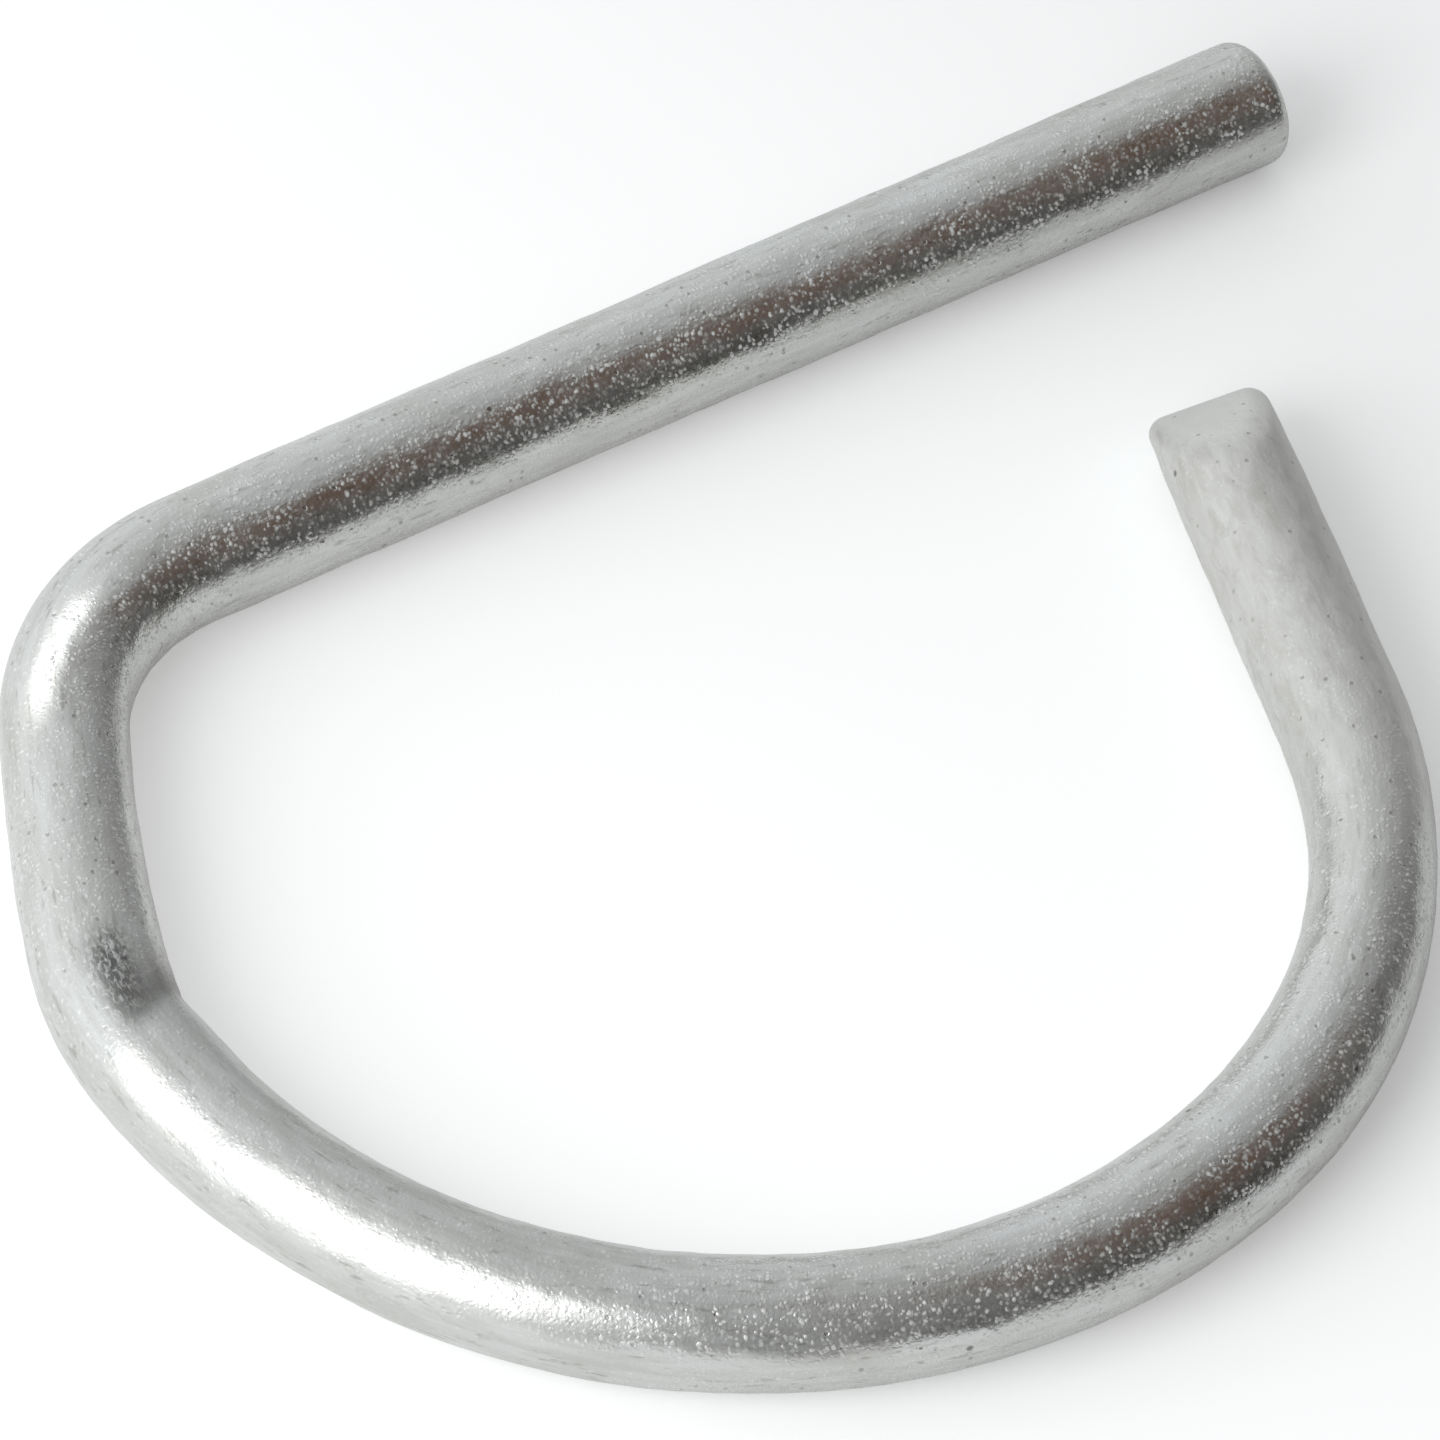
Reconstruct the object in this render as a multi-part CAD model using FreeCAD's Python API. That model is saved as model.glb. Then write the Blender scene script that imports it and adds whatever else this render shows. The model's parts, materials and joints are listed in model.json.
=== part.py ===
"""Scaffold locking pin (drop pin): one round bar, bent in one plane and galvanised.

The straight shank goes through the holes of a coupled tube. The bar then turns back
round the tube in an open loop, and its free leg comes to rest beside the tube on the
tip's side, so the pin can't slide out.

Frame: the origin is on the shank's axis, half way along it. +X points out of the tip,
the loop hangs on the -Y side, and the pin lies flat in XY, so +Z is across the bar.
"""
import FreeCAD, Part
import math
import os

from FreeCAD import Vector

# ---- Driving dimensions, in millimetres and degrees ------------------------------

bar_diameter = 11.0       # the round bar that the whole pin is bent from

shank_length = 106.0      # straight shank, from the tip's face to the shoulder bend
tip_rounding = 1.6        # edge radius at the tip

shoulder_radius = 21.5    # first bend, centreline radius
shoulder_angle = 61.5
back_radius = 168.0       # the nearly straight back between the first two bends
back_angle = 8.0
heel_radius = 28.5        # second bend, where the back runs into the loop
heel_angle = 21.5
loop_radius = 55.0        # the loop that goes round the tube
loop_angle = 110.5
nose_radius = 48.5        # the loop closes a little tighter towards the leg
nose_angle = 54.0
leg_length = 35.5         # straight free leg, from the nose to its end face

leg_bevel_angle = 60.0    # slope of the cropped face, from square across the bar
leg_bevel_turn = 12.0     # the face looks up and this far round towards the loop's inner side
leg_bevel_start = 0.0     # distance from the bar's axis to the line where the cropped face starts
leg_rounding = 1.8        # edge radius at the leg's end

# ---- Derived values --------------------------------------------------------------

bar_radius = bar_diameter / 2.0
tip_x = shank_length / 2.0


class BarPath:
    """The bar's centreline: straight runs and tangent arcs, drawn one after another."""

    def __init__(self, x, y, heading):
        self.x = x
        self.y = y
        self.heading = heading
        self.length = 0.0
        self.edges = []

    def point(self):
        return Vector(self.x, self.y, 0.0)

    def direction(self):
        angle = math.radians(self.heading)
        return Vector(math.cos(angle), math.sin(angle), 0.0)

    def straight(self, length):
        start = self.point()
        end = start + self.direction() * length
        self.edges.append(Part.LineSegment(start, end).toShape())
        self.x = end.x
        self.y = end.y
        self.length += length

    def bend(self, radius, angle):
        """Turn left by angle degrees at the given centreline radius."""
        start = self.point()
        inward = Vector(0.0, 0.0, 1.0).cross(self.direction())
        centre = start + inward * radius
        spoke = start - centre
        turn = FreeCAD.Rotation(Vector(0.0, 0.0, 1.0), angle)
        half_turn = FreeCAD.Rotation(Vector(0.0, 0.0, 1.0), angle / 2.0)
        middle = centre + half_turn.multVec(spoke)
        end = centre + turn.multVec(spoke)
        self.edges.append(Part.Arc(start, middle, end).toShape())
        self.x = end.x
        self.y = end.y
        self.heading += angle
        self.length += radius * math.radians(angle)


def bar_centreline():
    """From the tip's face, along the shank and round the loop, to the leg's end."""
    path = BarPath(tip_x, 0.0, 180.0)
    path.straight(shank_length)
    path.bend(shoulder_radius, shoulder_angle)
    path.bend(back_radius, back_angle)
    path.bend(heel_radius, heel_angle)
    path.bend(loop_radius, loop_angle)
    path.bend(nose_radius, nose_angle)
    path.straight(leg_length)
    return path


def sweep_bar(path):
    """The round bar as it comes off the bending bench, with both ends sawn square."""
    section = Part.Wire([Part.makeCircle(bar_radius, Vector(tip_x, 0.0, 0.0), Vector(-1.0, 0.0, 0.0))])
    return Part.Wire(path.edges).makePipeShell([section], True, True)


def crop_leg(bar, path):
    """Cut the sloping face on the upper and inner side of the leg's end."""
    along = path.direction()
    inward = Vector(0.0, 0.0, 1.0).cross(along)
    turn = math.radians(leg_bevel_turn)
    facing = Vector(0.0, 0.0, math.cos(turn)) + inward * math.sin(turn)
    across = facing.cross(along)
    corner = path.point() + facing * leg_bevel_start
    slope_length = bar_diameter / math.cos(math.radians(leg_bevel_angle))
    # A block whose lower corner line lies where the slope starts, its X along the bar.
    cutter = Part.makeBox(bar_diameter, 2.0 * bar_diameter, slope_length, Vector(0.0, -bar_diameter, 0.0))
    stand_on_leg = FreeCAD.Placement(FreeCAD.Matrix(
        along.x, across.x, facing.x, corner.x,
        along.y, across.y, facing.y, corner.y,
        along.z, across.z, facing.z, corner.z,
        0.0, 0.0, 0.0, 1.0))
    lean_back = FreeCAD.Placement(Vector(), FreeCAD.Rotation(Vector(0.0, 1.0, 0.0), -leg_bevel_angle))
    cutter.Placement = stand_on_leg.multiply(lean_back)
    return bar.cut(cutter)


def edges_near(shape, centre, reach):
    """The edges that lie wholly within a distance of a point."""
    near = []
    for edge in shape.Edges:
        samples = edge.discretize(9)
        if all((sample - centre).Length < reach for sample in samples):
            near.append(edge)
    return near


def round_end(bar, centre, reach, rounding):
    return bar.makeFillet(rounding, edges_near(bar, centre, reach))


path = bar_centreline()
bar = sweep_bar(path)
swept_volume = bar.Volume
bar = crop_leg(bar, path)
bar = round_end(bar, Vector(tip_x, 0.0, 0.0), 1.1 * bar_radius, tip_rounding)
bar = round_end(bar, path.point(), 2.2 * bar_radius, leg_rounding)

os.makedirs("parts", exist_ok=True)
bar.exportStep("parts/bent_bar.step")

section_area = math.pi * bar_radius ** 2
print("bar length", round(path.length, 2), "mm, turned through", path.heading - 180.0, "degrees")
print("swept volume / (section x length)", round(swept_volume / (section_area * path.length), 6))
print("valid", bar.isValid(), "solids", len(bar.Solids), "volume", round(bar.Volume, 1), "mm3")
print("box", bar.BoundBox)
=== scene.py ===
import json
import math

import bpy
import numpy as np
from mathutils import Matrix, Vector


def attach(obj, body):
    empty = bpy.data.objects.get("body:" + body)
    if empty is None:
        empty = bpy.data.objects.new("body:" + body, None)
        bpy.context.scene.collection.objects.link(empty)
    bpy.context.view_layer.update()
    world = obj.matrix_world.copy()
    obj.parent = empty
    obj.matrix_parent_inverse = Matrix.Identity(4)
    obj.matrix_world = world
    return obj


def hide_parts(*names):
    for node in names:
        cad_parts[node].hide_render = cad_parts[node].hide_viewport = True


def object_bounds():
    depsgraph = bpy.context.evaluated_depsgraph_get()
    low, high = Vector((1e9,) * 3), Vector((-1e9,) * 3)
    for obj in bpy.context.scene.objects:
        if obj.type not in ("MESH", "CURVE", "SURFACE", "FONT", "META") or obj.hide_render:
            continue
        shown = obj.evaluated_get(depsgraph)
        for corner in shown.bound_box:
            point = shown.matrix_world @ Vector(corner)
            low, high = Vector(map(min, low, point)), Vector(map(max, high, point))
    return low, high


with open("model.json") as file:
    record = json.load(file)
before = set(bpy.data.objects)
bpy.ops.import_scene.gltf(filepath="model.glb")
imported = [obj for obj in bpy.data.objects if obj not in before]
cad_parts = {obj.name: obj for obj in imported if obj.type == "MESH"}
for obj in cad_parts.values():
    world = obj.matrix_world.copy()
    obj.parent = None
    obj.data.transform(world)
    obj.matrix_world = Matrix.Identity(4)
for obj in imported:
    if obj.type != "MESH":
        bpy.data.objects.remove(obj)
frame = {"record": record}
cad_low, cad_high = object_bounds()

MM = 0.001

# ---- Sizes from the frame --------------------------------------------------------

pin_mount = frame["record"]["mounts"][0]
BAR_RADIUS = pin_mount["dims"]["r_mm"]
TIP_X = cad_high.x / MM
FLOOR_Z = cad_low.z

# ---- The bar's bends, as in the CAD model (millimetres and degrees) ---------------

SHANK_LENGTH = 2.0 * TIP_X
BENDS = [
    ("shoulder", 21.5, 61.5),
    ("back", 168.0, 8.0),
    ("heel", 28.5, 21.5),
    ("loop", 55.0, 110.5),
    ("nose", 48.5, 54.0),
]
LEG_LENGTH = 35.5
TIP_ROUNDING = 1.6
LEG_ROUNDING = 1.8
LEG_BEVEL_SLOPE = math.tan(math.radians(60.0))
LEG_BEVEL_TURN = math.radians(12.0)
LEG_BEVEL_SOFTNESS = 0.6

# ---- How finely the bar is meshed -------------------------------------------------

RING_SPACING = 0.48
POINTS_AROUND = 120
ROUNDING_RINGS = 8
FACE_RINGS = 22
END_BLEND = 18.0


class BarPath:
    """The bar's centreline: position and heading at any distance from the tip's face."""

    def __init__(self):
        self.runs = []
        self.marks = {}
        self.length = 0.0
        self.end = np.array([TIP_X, 0.0])
        self.heading = math.pi
        self.add("shank", SHANK_LENGTH, 0.0)
        for name, radius, angle in BENDS:
            turn = math.radians(angle)
            self.add(name, radius * turn, 1.0 / radius)
        self.add("leg", LEG_LENGTH, 0.0)
        self.marks["end"] = self.length

    def add(self, name, length, curvature):
        self.runs.append((self.length, self.end, self.heading, curvature))
        self.marks[name] = self.length
        position, heading = self.along(self.runs[-1], np.array([length]))
        self.end = position[0]
        self.heading = heading[0]
        self.length += length

    def along(self, run, distance):
        _, start, heading, curvature = run
        turned = heading + distance * curvature
        if curvature == 0.0:
            direction = np.array([math.cos(heading), math.sin(heading)])
            return start + distance[:, None] * direction, turned
        side = np.stack([np.sin(turned) - math.sin(heading), math.cos(heading) - np.cos(turned)], axis=1)
        return start + side / curvature, turned

    def at(self, distance):
        """Positions and headings for an array of distances; past the ends the bar runs on straight."""
        position = np.zeros((len(distance), 2))
        heading = np.zeros(len(distance))
        starts = np.array([run[0] for run in self.runs])
        index = np.clip(np.searchsorted(starts, distance, side="right") - 1, 0, len(starts) - 1)
        for i, run in enumerate(self.runs):
            mine = index == i
            if mine.any():
                position[mine], heading[mine] = self.along(run, distance[mine] - run[0])
        return position, heading


def smooth_step(x):
    x = np.clip(x, 0.0, 1.0)
    return x * x * (3.0 - 2.0 * x)


def bell(x, spread):
    return np.exp(-0.5 * (x / spread) ** 2)


def window(x, low, high, edge):
    """1 between low and high, falling softly to 0 over an edge on either side."""
    return smooth_step((x - low) / edge + 0.5) * smooth_step((high - x) / edge + 0.5)


# ---- What bending and galvanising do to a round bar --------------------------------
# Distances are in mm along the bar, from the marks where its runs start. Places round the bar are in degrees,
# 0 on the bends' inner side and 90 on top.

DRAWN_SIZE = 1.008

# What the rollers did in the plane of the bends: a mark, the distance past it, the spread, and how much wider.
SQUEEZES = [
    ("shoulder", -3.0, 5.0, 0.012),
    ("back", 5.0, 8.0, -0.042),
    ("loop", 22.0, 8.0, -0.024),
    ("nose", 1.0, 10.0, 0.022),
    ("nose", 28.0, 9.0, -0.055),
    ("end", 0.0, 6.0, -0.075),
]
THICKENING_SHARE = 0.35

HEEL_CREASE_PLACE = 8.6
HEEL_CREASE_DEPTH = 0.55
HEEL_CREASE_REACH = 7.5

SHOULDER_LEAN = math.radians(39.0)
LOOP_LEAN = math.radians(9.0)
LOOP_FROST = 0.45

# Families of waves in the skin: how many, the shortest and longest, the turns round the bar, and the height.
WAVE_FAMILIES = [
    (14, 18.0, 60.0, (0, 5), 0.016),
    (26, 5.0, 18.0, (0, 9), 0.009),
    (40, 2.2, 5.0, (0, 14), 0.0035),
]


def squeeze(s, path):
    """How much wider or narrower the bar is in the plane of the bends, where the rollers held it."""
    factor = np.full_like(s, DRAWN_SIZE)
    for mark, past, spread, amount in SQUEEZES:
        factor = factor + amount * bell(s - (path.marks[mark] + past), spread)
    return factor


def heel_crease(s, around, path):
    """Depth of the small fold on the inside of the heel bend."""
    centre = path.marks["heel"] + HEEL_CREASE_PLACE
    reach = np.clip(1.0 - np.abs(s - centre) / HEEL_CREASE_REACH, 0.0, 1.0)
    inner_side = np.clip(np.cos(around), 0.0, 1.0) ** 1.5
    return HEEL_CREASE_DEPTH * reach ** 2 * inner_side


def shoulder_place(path):
    """The middle of the patch that the bending tool pressed, at the end of the shoulder bend."""
    return path.marks["back"] - 4.0


def flattening(s, degrees, path):
    """How far, in radians, the skin leans along the bar where the bending tool pressed it."""
    shoulder = shoulder_place(path)
    loop = path.marks["loop"] + 4.5
    slant = 1.7 * (s - shoulder)
    pressed = window(s, shoulder - 8.0, shoulder + 6.5, 9.0) * window(degrees - slant, 86.0, 124.0, 36.0)
    drawn = window(s, loop - 3.0, loop + 6.0, 3.0) * window(degrees, 108.0, 146.0, 26.0)
    return SHOULDER_LEAN * pressed + LOOP_LEAN * drawn


def crumpling(s, degrees, path):
    """Where the skin is wrinkled, on the heel's inner upper side: 1 there and 0 elsewhere."""
    crease = path.marks["heel"] + 10.5 + 0.05 * (degrees - 90.0)
    return window(s, crease - 9.0, crease - 0.5, 4.5) * window(degrees, 76.0, 110.0, 32.0)


def crease_shade(s, degrees, path):
    """Painted shade along the fold itself, from the heel's inner side up to its top."""
    crease = path.marks["heel"] + 9.6 + 0.035 * (degrees - 90.0)
    across = np.where(s < crease, bell(s - crease, 2.6), bell(s - crease, 0.9))
    return across * window(degrees, 10.0, 104.0, 30.0)


def frosting(s, degrees, path):
    """How frosted the zinc is: most on the pressed shoulder, and a little where the loop starts."""
    shoulder = shoulder_place(path)
    loop = path.marks["loop"]
    pressed = window(s, shoulder - 12.0, shoulder + 9.0, 12.0) * window(degrees, 70.0, 150.0, 40.0)
    return np.maximum(pressed, LOOP_FROST * window(s, loop - 12.0, loop + 50.0, 26.0))


def end_face_light(s, rho, path):
    """Painted light on the leg's end face: 1 on the face, falling to 0 over its rounded edge, so the face is as
    bright as the leg's wall.
    """
    return smooth_step(np.where(s >= path.length, (BAR_RADIUS - rho) / LEG_ROUNDING, 0.0))


def surface_waves(s, around, seed=7):
    """Slow unevenness of drawn and hot dipped bar: a sum of smooth waves that close round the bar."""
    rng = np.random.default_rng(seed)
    height = np.zeros(np.broadcast(s, around).shape)
    for count, shortest, longest, turns, amplitude in WAVE_FAMILIES:
        for _ in range(count):
            length = rng.uniform(shortest, longest)
            times = int(rng.integers(turns[0], turns[1] + 1))
            phase_s, phase_a = rng.uniform(0.0, 2.0 * math.pi, 2)
            wave = np.sin(2.0 * math.pi * s / length + phase_s)
            height += amplitude * rng.uniform(0.4, 1.0) * wave * np.cos(times * around + phase_a)
    return height


# ---- The bar's mesh -----------------------------------------------------------------

def edge_rounding(rho, rounding):
    """How far the end face falls back at a distance rho from the axis."""
    over = np.clip(rho - (BAR_RADIUS - rounding), 0.0, rounding)
    return rounding - np.sqrt(np.maximum(rounding ** 2 - over ** 2, 0.0))


def cropped_leg(rho, around):
    """The leg's end: half square, half a sloping face, with soft edges."""
    height = rho * (np.sin(around) * math.cos(LEG_BEVEL_TURN) + np.cos(around) * math.sin(LEG_BEVEL_TURN))
    slope = LEG_BEVEL_SOFTNESS * np.logaddexp(0.0, height * LEG_BEVEL_SLOPE / LEG_BEVEL_SOFTNESS)
    return edge_rounding(rho, LEG_ROUNDING) + slope


def bar_points(path, s, rho, around, fall):
    """Points on the bar, and their distances along it. fall is how far each is moved along the bar."""
    s_moved = s + fall
    centre, heading = path.at(s_moved.ravel())
    centre = centre.reshape(s.shape + (2,))
    heading = heading.reshape(s.shape)
    share = rho / BAR_RADIUS
    inward_size = (BAR_RADIUS * squeeze(s_moved, path)) - heel_crease(s_moved, around, path)
    upward_size = BAR_RADIUS * (1.0 - THICKENING_SHARE * (squeeze(s_moved, path) - 1.0))
    lumps = surface_waves(s_moved, around) * share
    inward = (share * inward_size + lumps) * np.cos(around)
    upward = (share * upward_size + lumps) * np.sin(around)
    x = centre[..., 0] - np.sin(heading) * inward
    y = centre[..., 1] + np.cos(heading) * inward
    return np.stack([x, y, upward], axis=-1), s_moved


def face_radii(rounding):
    """Radii of an end face's rings, from near its middle out to the bar's wall."""
    flat = np.linspace(0.0, 1.0, FACE_RINGS + 1)[1:] * (BAR_RADIUS - rounding)
    bend = np.linspace(0.0, math.pi / 2.0, ROUNDING_RINGS + 1)[1:]
    return np.concatenate([flat, BAR_RADIUS - rounding + rounding * np.sin(bend)])


def bar_rings(path, angles):
    """Distance, radius and fall of every ring's points: the tip's face, the long wall, and the leg's end."""
    rings = [(0.0, rho, edge_rounding(rho, TIP_ROUNDING)) for rho in face_radii(TIP_ROUNDING)]
    tip_fall = edge_rounding(BAR_RADIUS, TIP_ROUNDING)
    leg_fall = cropped_leg(BAR_RADIUS, angles)
    for s in np.arange(1, int(path.length / RING_SPACING)) * RING_SPACING:
        near_tip = smooth_step(1.0 - s / END_BLEND)
        near_leg = smooth_step(1.0 - (path.length - s) / END_BLEND)
        rings.append((s, BAR_RADIUS, near_tip * tip_fall - near_leg * leg_fall))
    rings += [(path.length, rho, -cropped_leg(rho, angles)) for rho in face_radii(LEG_ROUNDING)[::-1]]
    s, rho, fall = zip(*rings)
    s = np.array(s)[:, None] + np.zeros_like(angles)
    rho = np.array(rho)[:, None] + np.zeros_like(angles)
    fall = np.array([np.broadcast_to(ring_fall, angles.shape) for ring_fall in fall])
    return s, rho, fall


def ring_faces(ring_count):
    """Quads between neighbouring rings, and a fan of triangles to the middle of each end face."""
    step = np.arange(POINTS_AROUND)
    following = (step + 1) % POINTS_AROUND
    tip_middle = ring_count * POINTS_AROUND
    leg_middle = tip_middle + 1
    last = tip_middle - POINTS_AROUND
    faces = []
    for low in range(0, last, POINTS_AROUND):
        high = low + POINTS_AROUND
        faces.extend(zip(low + step, low + following, high + following, high + step))
    faces.extend(zip(np.full(POINTS_AROUND, tip_middle), following, step))
    faces.extend(zip(np.full(POINTS_AROUND, leg_middle), last + step, last + following))
    return [[int(i) for i in face] for face in faces]


def add_mark(mesh, name, values, leg_middle=0.0):
    """Give every vertex a number that the material reads."""
    mark = mesh.attributes.new(name, "FLOAT", "POINT")
    values = np.append(values.ravel(), [0.0, leg_middle])
    mark.data.foreach_set("value", values.astype(np.float32))


def lean_shading(mesh, lean, heading):
    """Tilt the skin's shading along the bar, by an angle at every vertex."""
    along = np.stack([np.cos(heading), np.sin(heading), np.zeros_like(heading)], axis=1)
    normals = np.zeros(len(mesh.vertices) * 3, dtype=np.float32)
    mesh.vertex_normals.foreach_get("vector", normals)
    normals = normals.reshape(-1, 3) * np.cos(lean)[:, None] + along * np.sin(lean)[:, None]
    normals /= np.linalg.norm(normals, axis=1)[:, None]
    mesh.normals_split_custom_set_from_vertices(normals.tolist())


def bar_mesh(path):
    """One closed skin: the rings' points, and after them the middles of the tip's face and the leg's end."""
    angles = np.linspace(0.0, 2.0 * math.pi, POINTS_AROUND, endpoint=False) - math.pi / 2.0
    s, rho, fall = bar_rings(path, angles)
    around = np.broadcast_to(angles, s.shape)
    points, s_moved = bar_points(path, s, rho, around, fall)

    leg_back = float(cropped_leg(np.array(0.0), np.array(0.0)))
    leg_s = path.length - leg_back
    leg_point = path.at(np.array([leg_s]))[0][0]
    middles = [[TIP_X, 0.0, 0.0], [leg_point[0], leg_point[1], 0.0]]
    vertices = np.vstack([points.reshape(-1, 3), middles]) * MM
    bar_space = np.stack([s_moved, rho * np.cos(around), rho * np.sin(around)], axis=-1).reshape(-1, 3)
    bar_space = np.vstack([bar_space, [0.0, 0.0, 0.0], [leg_s, 0.0, 0.0]])

    mesh = bpy.data.meshes.new("locking_pin_bar")
    mesh.from_pydata(vertices.tolist(), [], ring_faces(len(s)))
    mesh.validate()
    mesh.update()
    where = mesh.attributes.new("bar_space", "FLOAT_VECTOR", "POINT")
    where.data.foreach_set("vector", bar_space.astype(np.float32).ravel())
    mesh.polygons.foreach_set("use_smooth", [True] * len(mesh.polygons))

    degrees = np.degrees(np.mod(around, 2.0 * math.pi))
    add_mark(mesh, "wrinkled", crumpling(s_moved, degrees, path))
    add_mark(mesh, "painted_fold_shade", crease_shade(s_moved, degrees, path))
    add_mark(mesh, "frosted", frosting(s_moved, degrees, path))
    add_mark(mesh, "painted_end_face_light", end_face_light(s, rho, path), leg_middle=1.0)

    lean = np.append(flattening(s_moved, degrees, path).ravel(), [0.0, 0.0])
    heading = np.append(path.at(s_moved.ravel())[1], [0.0, 0.0])
    lean_shading(mesh, lean, heading)
    return mesh


# ---- Materials ----------------------------------------------------------------------

class Graph:
    """A thin helper for building a node tree line by line."""

    def __init__(self, tree):
        self.tree = tree
        tree.nodes.clear()

    def add(self, kind, values=None, **settings):
        node = self.tree.nodes.new(kind)
        for name, value in settings.items():
            setattr(node, name, value)
        for socket, value in (values or {}).items():
            self.set(node, socket, value)
        return node

    def set(self, node, socket, value):
        if isinstance(value, bpy.types.NodeSocket):
            self.tree.links.new(value, node.inputs[socket])
        else:
            node.inputs[socket].default_value = value

    def math(self, operation, a, b, clamp=False):
        node = self.add("ShaderNodeMath", {0: a, 1: b}, operation=operation, use_clamp=clamp)
        return node.outputs[0]

    def multiply(self, a, b):
        return self.math("MULTIPLY", a, b)

    def mark(self, name):
        """A number that the mesh holds at its vertices."""
        return self.add("ShaderNodeAttribute", attribute_name=name).outputs["Fac"]

    def stretch(self, vector, scale):
        node = self.add("ShaderNodeMapping", {"Vector": vector, "Scale": scale})
        return node.outputs["Vector"]

    def noise(self, vector, scale, detail=2.0, roughness=0.5, distortion=0.0):
        values = {"Vector": vector, "Scale": scale, "Detail": detail, "Roughness": roughness,
                  "Distortion": distortion}
        return self.add("ShaderNodeTexNoise", values).outputs["Fac"]

    def remap(self, value, from_low, from_high, to_low, to_high, smooth=False):
        values = {"Value": value, "From Min": from_low, "From Max": from_high, "To Min": to_low,
                  "To Max": to_high}
        node = self.add("ShaderNodeMapRange", values)
        node.interpolation_type = "SMOOTHSTEP" if smooth else "LINEAR"
        return node.outputs["Result"]

    def dots(self, vector, scale, outer, inner, none, all_of_them):
        """Round spots, one to a cell: 1 at the middle, 0 outside, and only some of the cells have one."""
        cells = self.add("ShaderNodeTexVoronoi", {"Vector": vector, "Scale": scale})
        spot = self.remap(cells.outputs["Distance"], inner, outer, 1.0, 0.0, smooth=True)
        lot = self.add("ShaderNodeSeparateColor", {"Color": cells.outputs["Color"]}).outputs[0]
        return self.multiply(spot, self.remap(lot, none, all_of_them, 0.0, 1.0))

    def shaken(self, vector, size, reach):
        """The vector, pushed about a little, so that the spots on it aren't round."""
        wavy = self.add("ShaderNodeTexNoise", {"Vector": vector, "Scale": size, "Detail": 1.0}).outputs["Color"]
        push = self.add("ShaderNodeVectorMath", {0: wavy, 1: (reach, reach, reach)}, operation="MULTIPLY")
        moved = self.add("ShaderNodeVectorMath", {0: vector, 1: push.outputs[0]}, operation="ADD")
        return moved.outputs[0]

    def mix_colour(self, factor, a, b):
        node = self.add("ShaderNodeMix", data_type="RGBA")
        self.set(node, 0, factor)
        self.set(node, 6, a if isinstance(a, bpy.types.NodeSocket) else a + (1.0,))
        self.set(node, 7, b + (1.0,))
        return node.outputs[2]


# The zinc's own colours and those of the marks on it, and colours for painted light and shade: the leg's
# lighter outer side and end face, and the dark hollows of the heel's wrinkles and its fold.
DARKER_ZINC = (0.665, 0.67, 0.65)
LIGHTER_ZINC = (0.70, 0.71, 0.70)
DULL_ZINC = (0.60, 0.60, 0.57)
STREAK = (0.38, 0.36, 0.32)
SCORE = (0.24, 0.23, 0.20)
LEG_ZINC = (0.555, 0.55, 0.525)
LEG_BLOT = (0.40, 0.39, 0.36)
LEG_BOUNCE_LIGHT = (0.74, 0.74, 0.71)
END_FACE_LIGHT = (0.80, 0.805, 0.785)
BEAD = (0.78, 0.79, 0.78)
SPECK = (0.22, 0.21, 0.19)
PIT = (0.10, 0.09, 0.08)
CLEFT_SHADE = (0.11, 0.11, 0.105)
FOLD_SHADE = (0.20, 0.20, 0.19)

# Where the leg turns matt, and where the loop's smoother first part begins and ends, in mm along the bar.
LEG_TURNS_MATT = (288.0, 330.0)
LOOP_SMOOTH_FROM = (150.0, 168.0)
LOOP_SMOOTH_TO = (203.0, 225.0)


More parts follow.
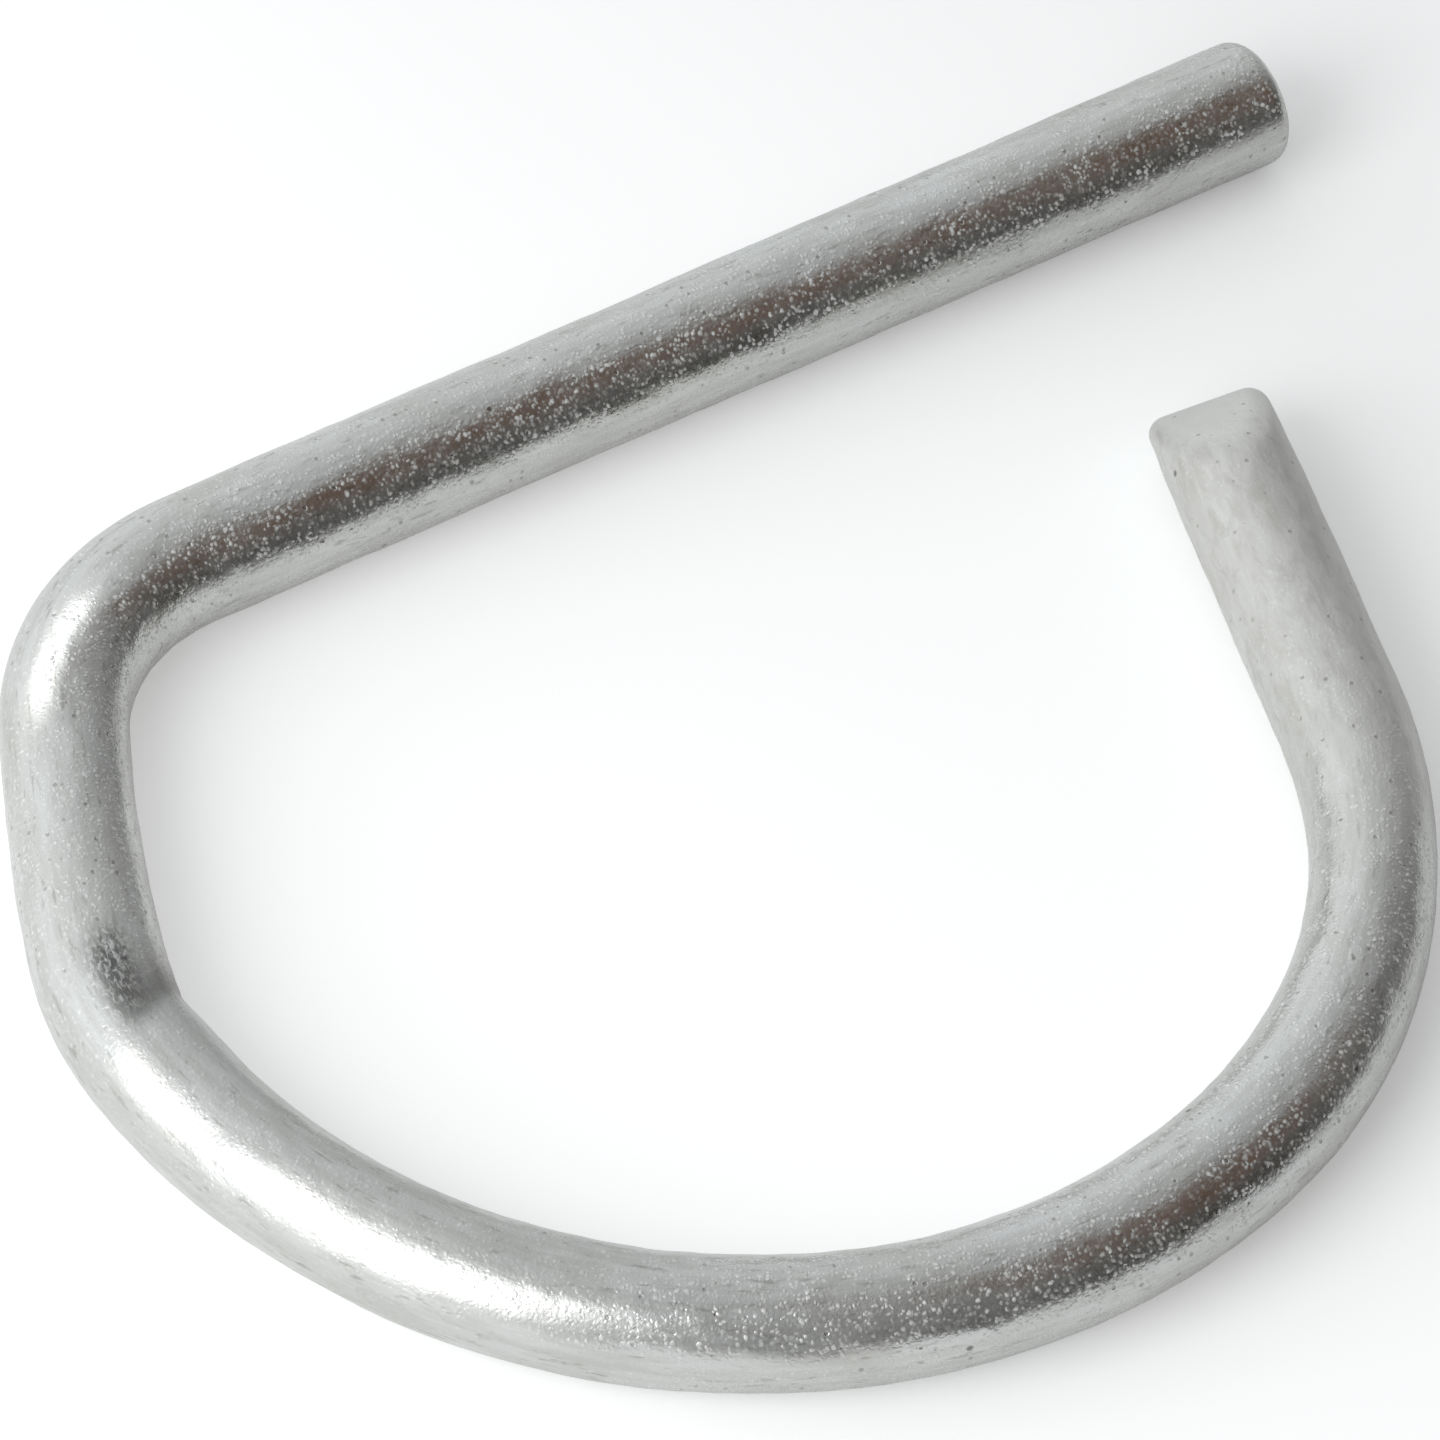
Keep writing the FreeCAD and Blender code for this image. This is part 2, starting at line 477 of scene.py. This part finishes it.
def galvanised_steel():
    """Satin zinc over drawn bar: fine dull beads, streaks along the bar, matt patches and dark specks, with
    painted light on the leg's outer side and end face and painted shade in the heel's wrinkles and fold.
    """
    material = bpy.data.materials.new("galvanised_steel")
    material.use_nodes = True
    g = Graph(material.node_tree)
    where = g.add("ShaderNodeAttribute", attribute_name="bar_space").outputs["Vector"]
    place = g.add("ShaderNodeSeparateXYZ", {"Vector": where})
    distance, inward = place.outputs["X"], place.outputs["Y"]
    wrinkled = g.mark("wrinkled")

    grain = g.noise(where, 3.2, 2.0, 0.5)
    lumps = g.noise(where, 0.8, 2.0, 0.5, 0.3)
    drift = g.noise(where, 0.035, 2.0, 0.5)
    streaks = g.noise(g.stretch(where, (0.12, 1.0, 1.0)), 1.1, 3.0, 0.6)
    scores = g.noise(g.stretch(where, (0.22, 1.0, 1.0)), 1.9, 2.0, 0.55, 0.3)
    blots = g.noise(g.stretch(where, (0.35, 1.0, 1.0)), 0.75, 4.0, 0.65, 0.8)
    patches = g.noise(g.stretch(where, (0.5, 1.0, 1.0)), 0.16, 3.0, 0.55, 0.6)
    ridges = g.noise(g.stretch(where, (0.5, 1.0, 1.0)), 2.4, 3.0, 0.65, 0.6)
    crowding = g.noise(g.stretch(where, (0.6, 1.0, 1.0)), 0.55, 3.0, 0.6)

    matt_leg = g.remap(distance, *LEG_TURNS_MATT, 0.0, 1.0, smooth=True)
    outer_side = g.remap(inward, -2.0, -5.3, 0.0, 0.8, smooth=True)
    loop_start = g.multiply(g.remap(distance, *LOOP_SMOOTH_FROM, 0.0, 1.0),
                            g.remap(distance, *LOOP_SMOOTH_TO, 1.0, 0.0))

    shaken = g.shaken(where, 1.3, 0.5)
    small_beads = g.dots(shaken, 2.7, 0.55, 0.12, 0.10, 0.75)
    large_beads = g.dots(shaken, 1.7, 0.44, 0.12, 0.45, 0.80)
    crowd = g.remap(crowding, 0.34, 0.58, 0.22, 1.0, smooth=True)
    for smoother, left in [(matt_leg, 0.35), (wrinkled, 0.50), (loop_start, 0.45)]:
        crowd = g.multiply(crowd, g.remap(smoother, 0.0, 1.0, 1.0, left))
    beads = g.multiply(g.math("MAXIMUM", g.multiply(small_beads, 0.75), large_beads), crowd)
    specks = g.dots(where, 0.85, 0.20, 0.10, 0.60, 0.66)
    specks = g.multiply(specks, g.remap(loop_start, 0.0, 1.0, 1.0, 0.30))
    pits = g.dots(where, 0.33, 0.13, 0.05, 0.80, 0.84)
    holes = g.math("MAXIMUM", specks, pits)

    height = g.multiply(grain, 0.022)
    for mark, raised in [(beads, 0.042), (lumps, 0.022), (streaks, 0.016), (holes, -0.040),
                         (g.multiply(ridges, wrinkled), 0.16)]:
        height = g.math("ADD", height, g.multiply(mark, raised))
    bump = g.add("ShaderNodeBump", {"Height": height, "Strength": 1.0, "Distance": MM})

    tone = g.mix_colour(g.remap(drift, 0.35, 0.65, 0.0, 1.0), DARKER_ZINC, LIGHTER_ZINC)
    dull = g.remap(patches, 0.45, 0.70, 0.0, 1.0, smooth=True)
    streaked = g.remap(streaks, 0.40, 0.60, 0.22, 0.0)
    scored = g.multiply(g.remap(scores, 0.27, 0.40, 0.45, 0.0), g.remap(matt_leg, 0.0, 1.0, 1.0, 0.55))
    leg_blots = g.multiply(matt_leg, g.remap(blots, 0.34, 0.56, 0.50, 0.0))
    # Painted light: the leg's outer side is painted lighter, standing in for the light the sheet throws back
    # onto it.
    painted_leg_bounce_light = g.multiply(matt_leg, outer_side)
    # Painted shade: the hollows between the heel's wrinkles are painted dark.
    painted_cleft_shade = g.multiply(g.remap(ridges, 0.46, 0.62, 1.0, 0.15), wrinkled)
    for mark, strength, colour in [
        (dull, 0.5, DULL_ZINC),
        (streaked, 1.0, STREAK),
        (scored, 1.0, SCORE),
        (matt_leg, 0.65, LEG_ZINC),
        (leg_blots, 1.0, LEG_BLOT),
        (painted_leg_bounce_light, 1.0, LEG_BOUNCE_LIGHT),
        # painted light: the end face is painted lighter to even out its shade
        (g.mark("painted_end_face_light"), 0.85, END_FACE_LIGHT),
        (beads, 0.7, BEAD),
        (specks, 0.45, SPECK),
        (pits, 0.75, PIT),
        (painted_cleft_shade, 0.95, CLEFT_SHADE),
        # painted shade along the heel's fold
        (g.mark("painted_fold_shade"), 0.70, FOLD_SHADE),
    ]:
        tone = g.mix_colour(g.multiply(mark, strength), tone, colour)

    matt = g.math("MAXIMUM", g.multiply(beads, 0.85), g.multiply(matt_leg, 0.70))
    metallic = g.math("SUBTRACT", 1.0, matt, clamp=True)
    roughness = g.remap(patches, 0.3, 0.7, 0.20, 0.31)
    roughness = g.math("ADD", roughness, g.remap(grain, 0.3, 0.7, -0.03, 0.05))
    roughness = g.math("ADD", roughness, g.multiply(g.mark("frosted"), 0.20))
    roughness = g.math("ADD", roughness, g.multiply(matt, 0.25), clamp=True)
    values = {"Base Color": tone, "Roughness": roughness, "Metallic": metallic,
              "Normal": bump.outputs["Normal"]}
    shader = g.add("ShaderNodeBsdfPrincipled", values)
    output = g.add("ShaderNodeOutputMaterial")
    g.set(output, "Surface", shader.outputs["BSDF"])
    return material


# The sheet glows more towards the shoulder's side. It also glows more when it is seen directly, because the
# bar in the photo reflects less white than there is around it.
DIRECT_GLOW = 0.20
SHOULDER_SIDE_GLOW = 0.28
GLOW_FROM_X = 60.0 * MM
GLOW_FULL_X = -180.0 * MM


def paper_floor():
    """Plain white sheet, lit a little from below, as on a light table, and more on the shoulder's side."""
    material = bpy.data.materials.new("white_sheet")
    material.use_nodes = True
    g = Graph(material.node_tree)
    seen_directly = g.add("ShaderNodeLightPath").outputs["Is Camera Ray"]
    place = g.add("ShaderNodeNewGeometry").outputs["Position"]
    x = g.add("ShaderNodeSeparateXYZ", {"Vector": place}).outputs["X"]
    uneven = g.remap(x, GLOW_FROM_X, GLOW_FULL_X, 0.0, SHOULDER_SIDE_GLOW)
    glow = g.math("ADD", g.multiply(seen_directly, DIRECT_GLOW), uneven)
    values = {"Base Color": (0.88, 0.89, 0.89, 1.0), "Roughness": 0.8,
              "Emission Color": (1.0, 1.0, 1.0, 1.0), "Emission Strength": glow}
    shader = g.add("ShaderNodeBsdfPrincipled", values)
    output = g.add("ShaderNodeOutputMaterial")
    g.set(output, "Surface", shader.outputs["BSDF"])
    return material


# ---- Room: floor, light and camera ----------------------------------------------------

FLOOR_SIZE = 8.0

# Directions as azimuth and elevation, in degrees, and the light that comes from them.
WINDOW_SIDE = (130.0, 0.0)
WINDOW_LIGHT = (1.10, 1.13, 1.15)
DIM_LIGHT = (0.030, 0.026, 0.022)
SHELF_PLACE = (-38.0, 50.0)
SHELF_LIGHT = (0.120, 0.064, 0.040)


def compass(azimuth, elevation):
    """Unit vector at an azimuth counted from +X towards +Y, and an elevation above the floor."""
    a, e = math.radians(azimuth), math.radians(elevation)
    return Vector((math.cos(a) * math.cos(e), math.sin(a) * math.cos(e), math.sin(e)))


def add_floor():
    half = FLOOR_SIZE / 2.0
    mesh = bpy.data.meshes.new("floor")
    corners = [(-half, -half, 0.0), (half, -half, 0.0), (half, half, 0.0), (-half, half, 0.0)]
    mesh.from_pydata([(x, y, FLOOR_Z) for x, y, z in corners], [], [(0, 1, 2, 3)])
    mesh.materials.append(paper_floor())
    floor = bpy.data.objects.new("floor", mesh)
    bpy.context.scene.collection.objects.link(floor)


def add_softbox(name, azimuth, elevation, distance, width, height, radiance):
    light = bpy.data.lights.new(name, "AREA")
    light.shape = "RECTANGLE"
    light.size = width
    light.size_y = height
    light.energy = radiance * math.pi * width * height
    lamp = bpy.data.objects.new(name, light)
    towards = compass(azimuth, elevation)
    lamp.location = towards * distance
    lamp.rotation_euler = towards.to_track_quat("Z", "Y").to_euler()
    bpy.context.scene.collection.objects.link(lamp)


def light_room():
    """A pale room, bright on the window's side and dim on the other, where a brown shelf is high up."""
    world = bpy.data.worlds.new("room")
    world.use_nodes = True
    bpy.context.scene.world = world
    g = Graph(world.node_tree)
    direction = g.add("ShaderNodeTexCoord").outputs["Generated"]

    def towards(place):
        values = {0: direction, 1: tuple(compass(*place))}
        return g.add("ShaderNodeVectorMath", values, operation="DOT_PRODUCT").outputs["Value"]

    colour = g.mix_colour(g.remap(towards(WINDOW_SIDE), -1.0, 1.0, 0.0, 1.0), DIM_LIGHT, WINDOW_LIGHT)
    shelf = g.remap(towards(SHELF_PLACE), 0.90, 0.985, 0.0, 0.85, smooth=True)
    colour = g.mix_colour(shelf, colour, SHELF_LIGHT)
    background = g.add("ShaderNodeBackground", {"Color": colour, "Strength": 1.0})
    output = g.add("ShaderNodeOutputWorld")
    g.set(output, "Surface", background.outputs["Background"])


def add_camera():
    azimuth, elevation, roll = -37.1, 49.9, -6.2
    distance = 1.32
    aim = Vector((-24.1 * MM, -35.9 * MM, 0.0))
    a, e, r = math.radians(azimuth), math.radians(elevation), math.radians(roll)
    back = Vector((math.sin(a) * math.cos(e), -math.cos(a) * math.cos(e), math.sin(e)))
    level_right = Vector((0.0, 0.0, 1.0)).cross(back).normalized()
    level_up = back.cross(level_right)
    up = level_up * math.cos(r) + level_right * math.sin(r)
    right = up.cross(back)
    data = bpy.data.cameras.new("camera")
    data.sensor_width = 36.0
    data.lens = 403.0
    data.clip_start = 0.05
    data.clip_end = 50.0
    camera = bpy.data.objects.new("camera", data)
    placed = Matrix((right, up, back)).transposed().to_4x4()
    placed.translation = aim + back * distance
    camera.matrix_world = placed
    bpy.context.scene.collection.objects.link(camera)
    bpy.context.scene.camera = camera


bpy.context.scene.view_settings.view_transform = "Standard"

add_camera()
add_floor()
light_room()
add_softbox("window_softbox", azimuth=-168.0, elevation=32.0, distance=0.9,
            width=0.64, height=0.70, radiance=2.9)

bar = bpy.data.objects.new("locking_pin_bar", bar_mesh(BarPath()))
bpy.context.scene.collection.objects.link(bar)
bar.data.materials.append(galvanised_steel())
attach(bar, "root")
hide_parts("bent_bar")
